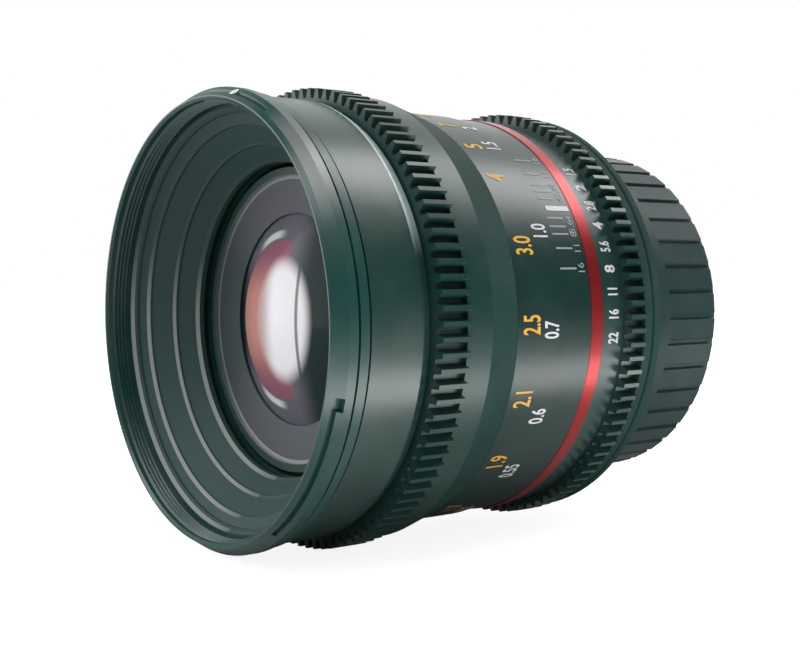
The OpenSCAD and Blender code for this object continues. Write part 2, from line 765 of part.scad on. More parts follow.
// Fork: foot under the ring, and a slotted bar that reaches the iris
fork_grip = 1.2;
fork_in_r = slide_r + fork_gap;
fork_out_r = fork_in_r + fork_bar_t;
module aperture_fork() {
    slot_half = drive_pin_r + running_gap;
    tip = drive_pin_station - optics_near - drive_pin_r - fork_margin;
    slot_len = optics_near + optics_infinity + 2 * (drive_pin_r + fork_margin);
    color(steel) rotate([index_roll + fork_roll, 0, 0]) difference() {
        union() {
            translate([fork_foot_front, -fork_w / 2, fork_in_r])
                cube([fork_foot_len, fork_w, hub_r - running_gap - fork_in_r]);
            translate([tip, -fork_w / 2, fork_in_r])
                cube([fork_foot_front + fork_foot_len - tip, fork_w, fork_bar_t]);
        }
        translate([tip - cut, -slot_half, fork_in_r - cut])
            cube([slot_len + cut, 2 * slot_half, fork_bar_t + 2 * cut]);
        radial_pin(fork_screw_r + running_gap, fork_out_r, hub_r + cut, fork_screw_station);
    }
}
module fork_screw() {
    color(steel) rotate([index_roll + fork_roll, 0, 0])
        radial_pin(fork_screw_r, fork_out_r + free_gap, stop_bore_r + fork_grip - running_gap,
            fork_screw_station);
}

// Lens barrel: front cell, iris chamber and sliding surface
cell_1_r = 20.4;
cell_2_r = 18.5;
cell_3_r = 16.5;
cell_4_r = 15.8;
cell_1_back = 5.3;
cell_2_back = 13.2;
cell_3_back = 16;
cell_4_back = 24.7;
stop_lip_r = wide_r + free_gap;
module lens_barrel() {
    color(black) difference() {
        turned([
            [cell_1_r + glass_gap, nose_seat], [nose_r, nose_seat], [nose_r, inside(nose_len)],
            [slide_r, inside(nose_len)], [slide_r, at(slide_end)], [chamber_r, at(slide_end)],
            [chamber_r, inside(iris_front)], [stop_lip_r, inside(iris_front)],
            [stop_lip_r, inside(cell_4_back)], [cell_4_r + glass_gap, inside(cell_4_back)],
            [cell_4_r + glass_gap, inside(cell_3_back)], [cell_3_r + glass_gap, inside(cell_3_back)],
            [cell_3_r + glass_gap, inside(cell_2_back)], [cell_2_r + glass_gap, inside(cell_2_back)],
            [cell_2_r + glass_gap, inside(cell_1_back)], [cell_1_r + glass_gap, inside(cell_1_back)]]);
        at_guides() translate([at(hub_front) - optics_near - free_gap, -guide_w / 2 - running_gap,
            slide_r - guide_depth]) cube([body_len, guide_w + 2 * running_gap, guide_depth + cut]);
        rotate([index_roll + fork_roll, 0, 0])
            arc_slot(chamber_r - cut, slide_r + cut, drive_pin_station - drive_pin_r - free_gap,
                drive_pin_station + drive_pin_r + free_gap,
                top - to_small - pin_half_arc, top + to_wide + pin_half_arc);
    }
}
optics_infinity = to_infinity / degrees_per_mm;
optics_near = to_near / degrees_per_mm;
nose_seat = inside(0) + (baffle_wall + retainer_lip);

// Front retainer: the ring that shows round the front glass
module front_retainer() {
    edge_r = nose_r - retainer_face;
    lip_r_in = cell_1_r - retainer_reach;
    lip_back = inside(glass_1_front) + sag(glass_1_curve, lip_r_in) - running_gap;
    color(black) turned([
        [edge_r, inside(0)], [nose_r, inside(0)], [nose_r, nose_seat - running_gap],
        [cell_1_r, nose_seat - running_gap], [cell_1_r, lip_back], [lip_r_in, lip_back],
        [lip_r_in, lip_back - retainer_lip], [edge_r, inside(0) + retainer_lip]]);
}

// Rear cell: a sleeve in the lens barrel, with a narrower tail
tail_end = 53.2;
iris_front = 25.6;
cell_5_r = 14.6;
cell_6_r = 15.5;
cell_7_r = 16;
rear_lip_r = 13.6;
rear_lip_t = 0.6;
cell_5_back = 38.4;
cell_9_front = 49.25;
module rear_cell() {
    rear_cell_front = iris_cover_back + running_gap;
    glass_7_seat = inside(glass_7_front) + sag(glass_7_curve, cell_6_r + glass_gap) - running_gap;
    color(soft_black) turned([
        [rear_lip_r, rear_cell_front], [chamber_r - running_gap, rear_cell_front],
        [chamber_r - running_gap, at(slide_end)], [tail_r, at(slide_end)], [tail_r, inside(tail_end)],
        [cell_9_r + glass_gap, inside(tail_end)], [cell_9_r + glass_gap, inside(cell_9_front)],
        [cell_7_r + glass_gap, inside(cell_9_front)], [cell_7_r + glass_gap, glass_7_seat],
        [cell_6_r + glass_gap, glass_7_seat], [cell_6_r + glass_gap, inside(cell_5_back)],
        [cell_5_r + glass_gap, inside(cell_5_back)], [cell_5_r + glass_gap, rear_cell_front + rear_lip_t],
        [rear_lip_r, rear_cell_front + rear_lip_t]]);
}

// Depth of a curved surface below its vertex, at a radius
function sag(curve, radius) = curve - sqrt(curve * curve - radius * radius);

// Spacers and the rear retainer
spacer_wall = 1.1;
module front_spacer() {
    color(soft_black) ring(cell_2_r - spacer_wall, cell_2_r, inside(cell_1_back) + running_gap,
        inside(glass_2_front) + sag(glass_2_curve, cell_2_r - spacer_wall) - running_gap);
}
module rear_spacers() {
    in_6 = cell_6_r - spacer_wall;
    in_9 = cell_9_r - spacer_wall;
    color(soft_black) {
        ring(in_6, cell_6_r, inside(glass_6_back) - sag(glass_6_curve, in_6) + running_gap,
            inside(glass_7_front) + sag(glass_7_curve, in_6) - running_gap);
        ring(in_9, cell_9_r, inside(cell_9_front) + running_gap,
            inside(glass_9_front) + sag(glass_9_curve, in_9) - running_gap);
    }
}
module rear_retainer() {
    in_9 = cell_9_r - spacer_wall;
    color(soft_black) ring(in_9, cell_9_r,
        inside(glass_9_back) - sag(glass_9_rear_curve, in_9) + running_gap, inside(tail_end) - running_gap);
}

// One glass: a blank between two stations, kept inside the domes and cleared of the hollows.
// A surface is given by its vertex and its radius of curvature, or left undefined if flat.
module lens(radius, from, to, front_dome, back_dome, front_hollow, back_hollow) {
    color(glass_tint) difference() {
        intersection() {
            rotate([0, 90, 0]) translate([0, 0, from]) cylinder(r = radius, h = to - from);
            if (front_dome) curved(front_dome[0] + front_dome[1], front_dome[1]);
            if (back_dome) curved(back_dome[0] - back_dome[1], back_dome[1]);
        }
        if (front_hollow) curved(front_hollow[0] - front_hollow[1], front_hollow[1]);
        if (back_hollow) curved(back_hollow[0] + back_hollow[1], back_hollow[1]);
    }
}
module curved(station, curve) {
    translate([station, 0, 0]) rotate([0, 90, 0]) sphere(r = curve, $fn = 2 * round_facets);
}

// Each glass: front rim to its front and back vertex, and the curves of the two
glass_1_front = -2;
glass_1_back = 4;
glass_1_curve = 48;
glass_1_rear_curve = 160;
glass_2_front = 5;
glass_2_back = 10.4;
glass_2_curve = 31;
glass_2_rear_curve = 62;
glass_3_front = 11;
glass_4_back = 18;
glass_4_curve = 22;
glass_5_front = 36.9;
glass_5_curve = 22;
glass_6_back = 43.4;
glass_6_curve = 34;
glass_7_front = 43.8;
glass_7_back = 48;
glass_7_curve = 110;
glass_7_rear_curve = 60;
glass_9_front = 49.6;
glass_9_back = 52.8;
glass_9_curve = 90;
glass_9_rear_curve = 200;

module glass_1() {
    lens(cell_1_r, inside(glass_1_front), inside(cell_1_back) - glass_gap,
        front_dome = [inside(glass_1_front), glass_1_curve],
        back_hollow = [inside(glass_1_back), glass_1_rear_curve]);
}
module glass_2() {
    lens(cell_2_r, inside(glass_2_front), inside(cell_2_back) - glass_gap,
        front_dome = [inside(glass_2_front), glass_2_curve],
        back_hollow = [inside(glass_2_back), glass_2_rear_curve]);
}
module glass_3() {
    lens(cell_3_r, inside(glass_3_front), inside(cell_3_back),
        front_dome = [inside(glass_3_front), glass_2_rear_curve]);
}
module glass_4() {
    lens(cell_4_r, inside(cell_3_back) + glass_gap, inside(cell_4_back) - glass_gap,
        back_hollow = [inside(glass_4_back), glass_4_curve]);
}
module glass_5() {
    lens(cell_5_r, iris_cover_back + rear_lip_t + 2 * glass_gap, inside(cell_5_back),
        front_hollow = [inside(glass_5_front), glass_5_curve]);
}
module glass_6() {
    lens(cell_6_r, inside(cell_5_back) + glass_gap, inside(glass_6_back),
        back_dome = [inside(glass_6_back), glass_6_curve]);
}
module glass_7() {
    lens(cell_7_r, inside(glass_7_front), inside(glass_7_back),
        front_dome = [inside(glass_7_front), glass_7_curve],
        back_dome = [inside(glass_7_back), glass_7_rear_curve]);
}
module glass_8() {
    vertex = inside(glass_7_back) + glass_gap;
    lens(cell_7_r, vertex - sag(glass_7_rear_curve, cell_7_r), inside(cell_9_front) - glass_gap,
        front_hollow = [vertex, glass_7_rear_curve]);
}
module glass_9() {
    lens(cell_9_r, inside(glass_9_front), inside(glass_9_back),
        front_dome = [inside(glass_9_front), glass_9_curve],
        back_dome = [inside(glass_9_back), glass_9_rear_curve]);
}

// Iris: pivot plate and rim, blades, drive ring and cover
layers_front = inside(iris_front) + iris_plate_t + running_gap;
iris_ring_front = layers_front + blade_count * layer_step + running_gap;
iris_ring_back = iris_ring_front + iris_ring_t;
iris_cover_front = iris_ring_back + running_gap;
iris_cover_back = iris_cover_front + iris_cover_t;
drive_pin_station = (iris_ring_front + iris_ring_back) / 2;
pin_half_arc = asin((drive_pin_r + free_gap) / chamber_r);

// Flat outlines of the iris are drawn with the ring at its widest stop
module at_blade(i) {
    rotate([0, 0, i * 360 / blade_count]) children();
}
module iris_housing() {
    color(soft_black) difference() {
        union() {
            along_axis(inside(iris_front), inside(iris_front) + iris_plate_t) difference() {
                circle(r = rim_in_r + iris_rim / 2);
                circle(r = stop_lip_r);
                for (i = [0:blade_count - 1]) at_blade(i) translate([pivot_r, 0])
                    circle(r = pin_r + running_gap);
            }
            ring(rim_in_r, chamber_r - running_gap, inside(iris_front), iris_cover_back);
        }
        rotate([index_roll + fork_roll, 0, 0])
            arc_slot(rim_in_r - cut, chamber_r + cut, drive_pin_station - drive_pin_r - free_gap / 2,
                drive_pin_station + drive_pin_r + free_gap / 2,
                top - to_small - pin_half_arc, top + to_wide + pin_half_arc);
    }
}

module iris_cover() {
    color(soft_black) ring(iris_inner_r, rim_in_r - running_gap, iris_cover_front, iris_cover_back);
}
iris_inner_r = wide_r + pin_r + free_gap + blade_t;

// Drive pin's place on its blade and in the drive ring, for a closing angle of the ring
blade_start = 8;
crank_lean = 100;
function turn_point(p, angle) =
    [p[0] * cos(angle) - p[1] * sin(angle), p[0] * sin(angle) + p[1] * cos(angle)];
function crank_point(angle) = [pivot_r, 0] + turn_point(crank * [cos(-crank_lean), sin(-crank_lean)], angle);
function cam_point(closed) = turn_point(crank_point(blade_turn_share * closed), closed);

// A cam slot as a ribbon along the drive pin's path
module cam_slot() {
    steps = 16;
    closed_max = to_wide + to_small;
    half = pin_r + running_gap;
    over = closed_max / steps / 4;
    path = [for (i = [0:steps]) cam_point(-over + (closed_max + 2 * over) * i / steps)];
    side = [for (i = [0:steps]) let (a = path[max(0, i - 1)], b = path[min(steps, i + 1)], d = b - a)
        half * [-d[1], d[0]] / norm(d)];
    polygon(concat([for (i = [0:steps]) path[i] + side[i]],
        [for (i = [steps:-1:0]) path[i] - side[i]]));
    for (i = [0, steps]) translate(path[i]) circle(r = half);
}

module iris_drive_ring() {
    color(steel) {
        along_axis(iris_ring_front, iris_ring_back) rotate([0, 0, -to_wide]) difference() {
            circle(r = iris_ring_r);
            circle(r = iris_inner_r);
            for (i = [0:blade_count - 1]) at_blade(i) cam_slot();
        }
        rotate([index_roll + fork_roll, 0, 0])
            radial_pin(drive_pin_r, iris_ring_r - iris_rim / 2, fork_out_r - free_gap, drive_pin_station);
    }
}

// One blade, turned to its rest angle about its pivot, on a layer of its own
module iris_blade(i) {
    rest = blade_turn_share * to_wide;
    layer = layers_front + i * layer_step;
    color(steel) rotate([0, 90, 0]) rotate([0, 0, i * 360 / blade_count])
        translate([pivot_r, 0, 0]) rotate([0, 0, rest]) translate([-pivot_r, 0, 0]) {
            translate([0, 0, layer]) linear_extrude(blade_t) blade_outline();
            translate([pivot_r, 0, inside(iris_front) + blade_t])
                cylinder(r = pin_r, h = layer - inside(iris_front) - blade_t / 2);
            translate(concat(crank_point(0), [layer + blade_t / 2]))
                cylinder(r = pin_r, h = iris_ring_back - blade_t - layer);
        }
}

// Crescent, tab to the pivot and tail to the drive pin
module blade_outline() {
    tab_r = 2 * pin_r;
    tail = crank_point(0) - [pivot_r, 0];
    difference() {
        intersection() {
            circle(r = blade_out_r);
            sector(blade_out_r + cut, blade_start, blade_start + blade_arc);
        }
        circle(r = wide_r);
    }
    translate([pivot_r, 0]) circle(r = tab_r);
    translate([pivot_r, 0] + tail) circle(r = tab_r);
    translate([pivot_r, 0]) rotate([0, 0, -crank_lean]) translate([0, -tab_r]) square([crank, 2 * tab_r]);
    neck = blade_out_r * [cos(blade_start), sin(blade_start)] - [pivot_r, 0];
    neck_angle = atan2(neck[1], neck[0]);
    translate([pivot_r, 0]) rotate([0, 0, neck_angle]) translate([0, -tab_r])
        square([norm(neck) + tab_r, 2 * tab_r]);
}

// Rear cap: skirt, ribbed wall, closed rear face and its own bayonet lugs
cap_front = free_gap - mount_stand;
cap_bore_r = mount_r + free_gap;
cap_skirt_r = cap_bore_r + cap_skirt_wall;
cap_rib_r = cap_skirt_r - cap_rib_drop;
cap_web_r = lug_r + cap_lug_gap;
cap_lug_r = tube_r + cap_tube_gap;
rib_tip_share = 0.74;
rib_root_share = 0.86;
module rear_cap() {
    web_front = free_gap;
    web_back = web_front + cap_web_t;
    rib_base_r = cap_rib_r - cap_groove;
    floor_front = cap_len - cap_wall;
    rib_end = cap_len - cap_bevel - cap_groove;
    color(soft_black) {
        turned([
            [cap_bore_r, cap_front], [cap_skirt_r - cap_groove, cap_front],
            [cap_skirt_r, cap_front + cap_groove], [cap_skirt_r, cap_skirt_end - cap_groove],
            [cap_skirt_r - cap_groove, cap_skirt_end], [rib_base_r - cap_groove, cap_skirt_end],
            [rib_base_r - cap_groove, cap_skirt_end + cap_groove],
            [rib_base_r, cap_skirt_end + cap_groove],
            [rib_base_r, cap_len - cap_bevel], [rib_base_r - cap_bevel, cap_len],
            [0, cap_len], [0, floor_front], [rib_base_r - cap_wall, floor_front],
            [rib_base_r - cap_wall, web_back],
            [cap_web_r, web_back], [cap_web_r, web_front], [cap_bore_r, web_front]]);
        along_axis(cap_skirt_end + cap_groove, rib_end) difference() {
            toothed(cap_ribs, cap_rib_r, rib_base_r, rib_tip_share, rib_root_share);
            circle(r = rib_base_r - cap_groove);
        }
        for (i = [0:2]) rotate([index_roll + lug_turn / 2 + i * lug_turn, 0, 0])
            arc_slot(cap_lug_r, cap_web_r + running_gap, web_front, web_back,
                top - lug_arc / 2, top + lug_arc / 2);
    }
}

front_ring();
front_barrel();
front_baffle();
front_screws();
inner_barrel();
focus_washer();
sleeve_ring();
focus_retainer();
guide_keys();
depth_scale();
red_ring();
stop_washer();
rear_housing();
mount_ring();
mount_screws();
rear_light_trap();
focus_ring();
distance_scale();
helicoid_sleeve();
drive_key();
lens_barrel();
rear_cell();
front_retainer();
rear_retainer();
front_spacer();
rear_spacers();
iris_housing();
iris_cover();
iris_drive_ring();
aperture_ring();
aperture_fork();
fork_screw();
rear_cap();
glass_1();
glass_2();
glass_3();
glass_4();
glass_5();
glass_6();
glass_7();
glass_8();
glass_9();
for (i = [1:blade_count])
    iris_blade(i - 1);
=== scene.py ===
import math
import bmesh
import bpy
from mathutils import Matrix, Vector


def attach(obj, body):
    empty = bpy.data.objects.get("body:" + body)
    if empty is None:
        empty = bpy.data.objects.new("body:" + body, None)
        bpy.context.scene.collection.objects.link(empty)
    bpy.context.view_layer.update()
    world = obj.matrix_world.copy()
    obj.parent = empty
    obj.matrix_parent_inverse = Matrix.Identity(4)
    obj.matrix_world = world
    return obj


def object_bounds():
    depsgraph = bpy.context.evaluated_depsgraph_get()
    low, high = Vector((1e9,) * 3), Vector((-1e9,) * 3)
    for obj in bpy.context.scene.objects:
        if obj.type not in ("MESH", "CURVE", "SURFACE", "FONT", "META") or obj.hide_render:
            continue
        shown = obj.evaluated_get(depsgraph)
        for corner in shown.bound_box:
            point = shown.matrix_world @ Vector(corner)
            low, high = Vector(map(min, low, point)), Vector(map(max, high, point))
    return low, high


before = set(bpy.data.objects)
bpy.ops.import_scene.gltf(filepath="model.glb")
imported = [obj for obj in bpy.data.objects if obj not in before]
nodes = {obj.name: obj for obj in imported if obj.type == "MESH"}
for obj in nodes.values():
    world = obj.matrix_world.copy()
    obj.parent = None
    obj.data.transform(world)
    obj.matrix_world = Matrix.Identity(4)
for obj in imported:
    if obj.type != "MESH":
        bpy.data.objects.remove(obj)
cadLow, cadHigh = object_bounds()
print("frame loaded:", len(nodes), "nodes")

mm = 0.001
bodyLength = 74.7  # front rim to the mount face, where x is 0
indexAngle = 58.7  # degrees from the top towards the camera's side, as in the CAD


def station(depth):
    return (depth - bodyLength) * mm  # depth in mm behind the front rim


def onRing(x, radius, angle):
    turn = math.radians(angle)  # from the top towards the camera's side
    return Vector((x, -radius * math.sin(turn), radius * math.cos(turn)))


def placed(name, data):
    thing = bpy.data.objects.new(name, data)
    bpy.context.scene.collection.objects.link(thing)
    return thing


class Value:
    # one wire of a material, so that maths on it reads as a plain expression
    def __init__(self, finish, socket):
        self.finish, self.socket = finish, socket

    def __add__(self, other): return self.finish.math("ADD", self, other)
    def __radd__(self, other): return self.finish.math("ADD", other, self)
    def __sub__(self, other): return self.finish.math("SUBTRACT", self, other)
    def __rsub__(self, other): return self.finish.math("SUBTRACT", other, self)
    def __mul__(self, other): return self.finish.math("MULTIPLY", self, other)
    def __truediv__(self, other): return self.finish.math("DIVIDE", self, other)
    def __pow__(self, other): return self.finish.math("POWER", self, other)


class Finish:
    # a node tree, of a material or of the world
    def __init__(self, owner):
        self.owner = owner
        owner.use_nodes = True
        self.tree = owner.node_tree
        self.tree.nodes.clear()

    def node(self, kind, inputs=None, output=0, **settings):
        made = self.tree.nodes.new("ShaderNode" + kind)
        for key, value in settings.items():
            setattr(made, key, value)
        for key, value in (inputs or {}).items():
            if isinstance(value, Value):
                self.tree.links.new(value.socket, made.inputs[key])
            else:
                made.inputs[key].default_value = value
        return Value(self, made.outputs[output]) if made.outputs else None

    def math(self, operation, *values):
        return self.node("Math", dict(enumerate(values)), operation=operation)

    def place(self):
        return self.node("TexCoord", output="Object")

    def around(self, place):
        # its x, y and z, its distance from the optical axis and its angle round it: 0 at the top,
        # negative on the camera's side
        x, y, z = [self.node("SeparateXYZ", {0: place}, n) for n in range(3)]
        return x, y, z, (y * y + z * z) ** 0.5, self.math("ARCTAN2", y, z)

    def ramp(self, value, low, high):
        return self.node("MapRange", {"Value": value, "From Min": low, "From Max": high},
                         interpolation_type="SMOOTHSTEP")

    def band(self, value, low, high, soft):
        return self.ramp(value, low - soft, low) * self.ramp(value, high + soft, high)

    def noise(self, vector, scale, detail=2, roughness=0.5):
        return self.node("TexNoise", {"Vector": vector, "Scale": scale, "Detail": detail,
                                      "Roughness": roughness})

    def turnings(self, along, out, angle, v):
        # the lathe's marks: fine rings that break up on their way round
        scale = v["ringsPerMetre"]
        return self.noise(self.join(along * scale, out * scale, angle * v["ringsRound"]), 1, 3)

    def blend(self, factor, *colours):
        first, second = [c if isinstance(c, Value) else (*c, 1) for c in colours]
        return self.node("Mix", {0: factor, 6: first, 7: second}, 2, data_type="RGBA")

    def join(self, x, y, z):
        return self.node("CombineXYZ", {0: x, 1: y, 2: z})

    def bump(self, height):  # height in mm
        return self.node("Bump", {"Height": height, "Distance": mm, "Strength": 1})

    def shader(self, **inputs):
        return self.node("BsdfPrincipled", {key.replace("_", " "): value for key, value in inputs.items()})

    def mixed(self, factor, first, second):
        return self.node("MixShader", {0: factor, 1: first, 2: second})

    def end(self, shader):
        self.node("OutputMaterial", {"Surface": shader})

    def surface(self, **inputs):
        self.end(self.shader(**inputs))


def finishNamed(name):
    return Finish(bpy.data.materials.new(name))


# Black parts: turned and anodised, with a slight teal cast as in the photograph. Here and in the
# finishes below, depths, heights and the widths of fades are in mm, and a noise is given by its
# scale per metre, its detail and its roughness.
blackFinish = {
    "colour": (0.009, 0.036, 0.030), "wearAndSheen": (0.018, 0.048, 0.042), "wornFrom": (0.35, 0.75),
    "roughness": 0.32, "cloudRoughness": 0.12, "grainRoughness": 0.1, "level": 0.62,
    "clouds": (90, 4, 0.6), "grain": (5500, 2, 0.5), "grainHeight": 0.006,
    "ringsPerMetre": 5200, "ringsRound": 1.5, "ringHeight": 0.004,
    "matteRoughness": 0.7, "matteLevel": 0.15, "matteFades": 0.1,
    # fades, faintest part and streaks of the painted edge highlight
    "edgeFades": 0.15, "edgeFadesRound": 0.25, "edgeFaintest": 0.7, "edgeStreaks": 0.3,
}

# How they differ: one stretch can be blasted dull, and one edge carries a painted highlight, between two depths
# and two angles on the camera's side
blackKinds = {
    "satinBlack": {},
    "focusBlack": {"matte": (31, 38.5), "level": 0.42},
    "stopBlack": {"matte": (69.3, 76)},
    "scaleBlack": {"colour": (0.005, 0.024, 0.020), "wearAndSheen": (0.010, 0.034, 0.029), "roughness": 0.3,
                   "level": 0.52},
    "rimBlack": {"colour": (0.008, 0.047, 0.041), "wearAndSheen": (0.016, 0.060, 0.053),
                 "edge": {"depths": (0.9, 4.7), "angles": (41, 53), "colour": (0.15, 0.165, 0.16)}},
    "barrelBlack": {"level": 0.75,
                    "edge": {"depths": (17.3, 19.4), "angles": (22, 60), "colour": (0.50, 0.60, 0.58)}},
}


def turnedBlack(name):
    v = {**blackFinish, **blackKinds[name]}
    f = finishNamed(name)
    place = f.place()
    x, _, _, radius, angle = f.around(place)
    rings = f.turnings(x, radius, angle, v)
    grain = f.noise(place, *v["grain"])
    clouds = f.noise(place, *v["clouds"])
    uneven = (clouds - 0.5) * v["cloudRoughness"] + (grain - 0.5) * v["grainRoughness"]
    relief = f.bump(rings * v["ringHeight"] + grain * v["grainHeight"])
    colour = f.blend(f.ramp(clouds, *v["wornFrom"]), v["colour"], v["wearAndSheen"])
    # a painted highlight on one edge, on the camera's side, streaked by the turning marks
    if "edge" in v:
        (front, back), (first, last) = v["edge"]["depths"], v["edge"]["angles"]
        paintedHighlight = f.band(x, station(front), station(back), v["edgeFades"] * mm) \
            * f.band(angle, math.radians(-last), math.radians(-first), v["edgeFadesRound"])
        streaks = v["edgeFaintest"] + rings * v["edgeStreaks"]
        colour = f.blend(paintedHighlight * streaks, colour, v["edge"]["colour"])
    shader = f.shader(Base_Color=colour, Roughness=v["roughness"] + uneven, Specular_IOR_Level=v["level"],
                      Normal=relief)
    if "matte" in v:
        front, back = v["matte"]
        half = v["matteFades"] / 2
        matte = f.band(x, station(front + half), station(back - half), v["matteFades"] * mm)
        dull = f.shader(Base_Color=colour, Roughness=v["matteRoughness"] + uneven,
                        Specular_IOR_Level=v["matteLevel"], Normal=relief)
        shader = f.mixed(matte, shader, dull)
    f.end(shader)
    return f.owner


# Baffle and the inside of the cells: flat black paint over fine turned grooves. The edges of the well's steps,
# by their depths, carry a painted highlight, strongest low on the side away from the camera.
flatFinish = {
    "colour": (0.012, 0.043, 0.037), "pale": (0.022, 0.058, 0.053), "level": 0.4,
    "roughness": 0.55, "speckleRoughness": 0.15, "speckles": (4200, 3, 0.6), "speckleHeight": 0.004,
    "groovesPerMetre": 2600, "grooveHeight": 0.006,
    "edges": ((4.75, 5.3), (7.1, 7.65), (11.1, 11.6), (14.7, 15.3)), "edgeColour": (0.25, 0.27, 0.265),
    "edgeFades": 0.06, "edgeRadius": (28, 28.5), "sheenAngles": (95, 160), "sheenFadesRound": 0.6,
    "sheenMost": 0.8, "sheenLeast": 0.05,
}


def flatBlack(name):
    v = flatFinish
    f = finishNamed(name)
    place = f.place()
    x, _, _, radius, angle = f.around(place)
    grooves = f.math("SINE", (x + radius) * (v["groovesPerMetre"] * math.tau))
    speckle = f.noise(place, *v["speckles"])
    # painted highlights on the edges of the well's steps, strongest at the listed angles and outside the listed
    # radius
    paintedStepHighlight = sum(f.band(x, station(front), station(back), v["edgeFades"] * mm) for front, back in v["edges"])
    first, last = [math.radians(degrees) for degrees in v["sheenAngles"]]
    wearAndSheen = f.band(angle, first, last, v["sheenFadesRound"]) * v["sheenMost"] + v["sheenLeast"]
    outside = f.ramp(radius, *[r * mm for r in v["edgeRadius"]])
    colour = f.blend(paintedStepHighlight * wearAndSheen * outside, f.blend(speckle, v["colour"], v["pale"]), v["edgeColour"])
    f.surface(Base_Color=colour, Roughness=v["roughness"] + speckle * v["speckleRoughness"],
              Specular_IOR_Level=v["level"],
              Normal=f.bump(grooves * v["grooveHeight"] + speckle * v["speckleHeight"]))
    return f.owner


# Bare and plated metals: colour, roughness and the height of their turning marks
metalFinishes = {
    "machinedSteel": {"colour": (0.56, 0.56, 0.55), "roughness": 0.3, "marks": 0.003},
    "turnedBrass": {"colour": (0.72, 0.53, 0.25), "roughness": 0.32, "marks": 0.004},
    "satinChrome": {"colour": (0.68, 0.68, 0.69), "roughness": 0.22, "marks": 0.002},
    "blackenedSteel": {"colour": (0.05, 0.052, 0.058), "roughness": 0.38, "marks": 0.002},
}
metalShared = {"ringsPerMetre": 6000, "ringsRound": 2, "ringRoughness": 0.12, "stains": (160, 4, 0.6),
               "stained": 0.8, "cleanFrom": (0.3, 0.7)}


def turnedMetal(name):
    v = {**metalShared, **metalFinishes[name]}
    f = finishNamed(name)
    place = f.place()
    x, _, _, radius, angle = f.around(place)
    rings = f.turnings(x, radius, angle, v)
    stain = f.noise(place, *v["stains"])
    dark = [part * v["stained"] for part in v["colour"]]
    f.surface(Base_Color=f.blend(f.ramp(stain, *v["cleanFrom"]), dark, v["colour"]), Metallic=1.0,
              Roughness=v["roughness"] + (rings - 0.5) * v["ringRoughness"], Normal=f.bump(rings * v["marks"]))
    return f.owner


redFinish = {
    "colour": (0.35, 0.020, 0.022), "deep": (0.27, 0.014, 0.016), "roughness": 0.30, "cloudRoughness": 0.08,
    "metal": 0.6, "coat": 0.1, "coatRoughness": 0.12, "clouds": (220, 3), "grain": (1800, 2),
    "grainHeight": 0.004,
}


def redEnamel(name):
    v = redFinish
    f = finishNamed(name)
    place = f.place()
    clouds = f.noise(place, *v["clouds"])
    f.surface(Base_Color=f.blend(clouds, v["deep"], v["colour"]),
              Roughness=v["roughness"] + (clouds - 0.5) * v["cloudRoughness"], Metallic=v["metal"],
              Coat_Weight=v["coat"], Coat_Roughness=v["coatRoughness"],
              Normal=f.bump(f.noise(place, *v["grain"]) * v["grainHeight"]))
    return f.owner


capFinish = {
    "colour": (0.010, 0.031, 0.030), "pale": (0.019, 0.044, 0.043), "level": 0.24,
    "roughness": 0.5, "grainRoughness": 0.16, "grain": (2600, 3, 0.6), "grainHeight": 0.014,
    "dust": (70, 4, 0.65), "dustFrom": (0.35, 0.75),
}


def mouldedPlastic(name):
    v = capFinish
    f = finishNamed(name)
    place = f.place()
    grain = f.noise(place, *v["grain"])
    dust = f.noise(place, *v["dust"])
    f.surface(Base_Color=f.blend(f.ramp(dust, *v["dustFrom"]), v["colour"], v["pale"]),
              Roughness=v["roughness"] + (grain - 0.5) * v["grainRoughness"], Specular_IOR_Level=v["level"],
              Normal=f.bump(grain * v["grainHeight"]))
    return f.owner


# Paint in the engraved figures and lines
paintFinishes = {"whitePaint": (0.62, 0.62, 0.63), "orangePaint": (0.68, 0.37, 0.03),
                 "greyPaint": (0.27, 0.30, 0.31)}
paintShared = {"thin": 0.78, "thickFrom": (0.3, 0.6), "speckles": (3800, 3, 0.6), "speckleHeight": 0.006,
               "roughness": 0.5, "speckleRoughness": 0.2}


def figurePaint(name):
    v = paintShared
    f = finishNamed(name)
    speckle = f.noise(f.place(), *v["speckles"])
    thin = [part * v["thin"] for part in paintFinishes[name]]
    f.surface(Base_Color=f.blend(f.ramp(speckle, *v["thickFrom"]), thin, paintFinishes[name]),
              Roughness=v["roughness"] + (speckle - 0.5) * v["speckleRoughness"],
              Normal=f.bump(speckle * v["speckleHeight"]))
    return f.owner


